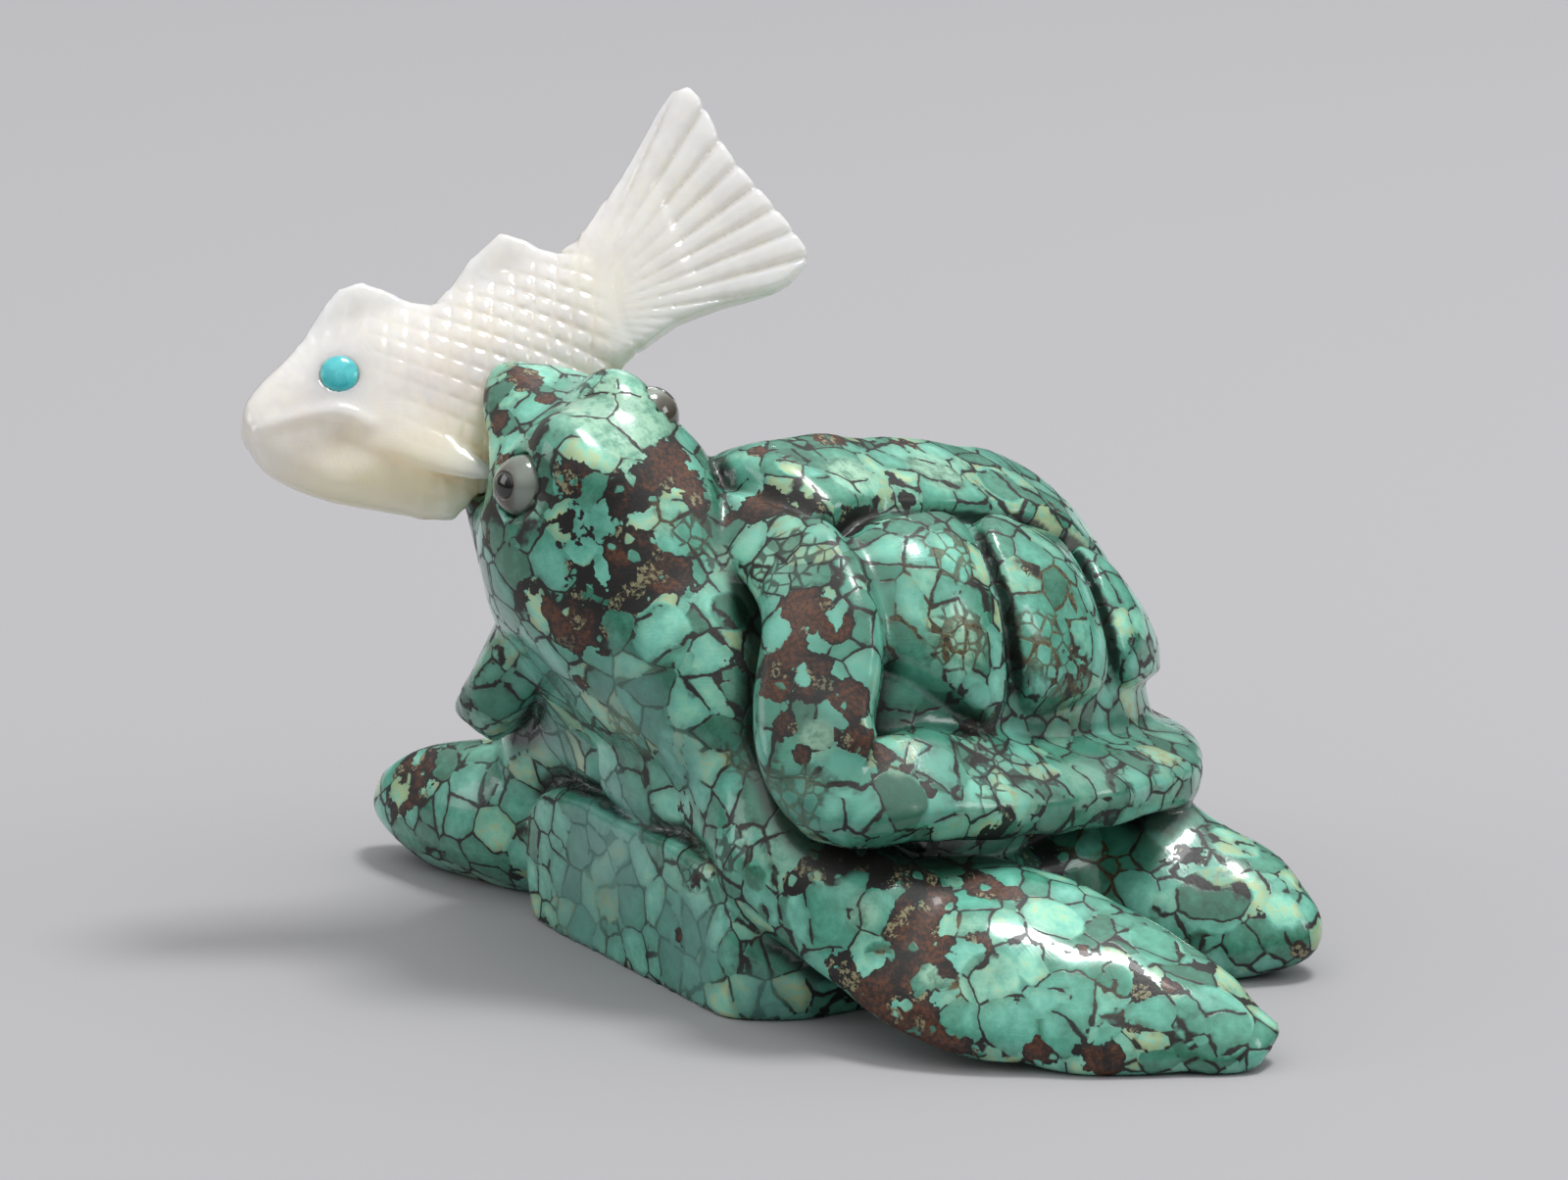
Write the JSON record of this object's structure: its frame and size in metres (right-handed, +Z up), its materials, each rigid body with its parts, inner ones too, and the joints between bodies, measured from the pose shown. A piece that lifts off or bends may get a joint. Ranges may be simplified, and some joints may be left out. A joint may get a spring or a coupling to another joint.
{
  "type": "carved turtle figure",
  "caption": "Carved stone sea turtle standing on its flat underside, head raised and turned, with a fish carved from shell held crosswise in its beak.",
  "frame": {"origin": "on the ground under the middle of the shell, on the flat underside", "axes": "+Z up; the turtle's body faces -Y and its left side is +X; its head is turned towards -X"},
  "size_m": [0.0527, 0.0404, 0.0375],
  "materials": {
    "turquoise": "polished spiderweb turquoise with dark brown matrix",
    "eye_shell": "polished grey shell",
    "pupil_jet": "polished jet",
    "pearl": "polished mother-of-pearl",
    "blue_dot": "polished blue turquoise"
  },
  "bodies": {
    "root": {"turtle": "turquoise", "turtle_eye_left": "eye_shell", "turtle_eye_right": "eye_shell", "turtle_pupil_left": "pupil_jet", "turtle_pupil_right": "pupil_jet", "fish": "pearl", "fish_eye_left": "blue_dot", "fish_eye_right": "blue_dot"}
  },
  "joints": []
}
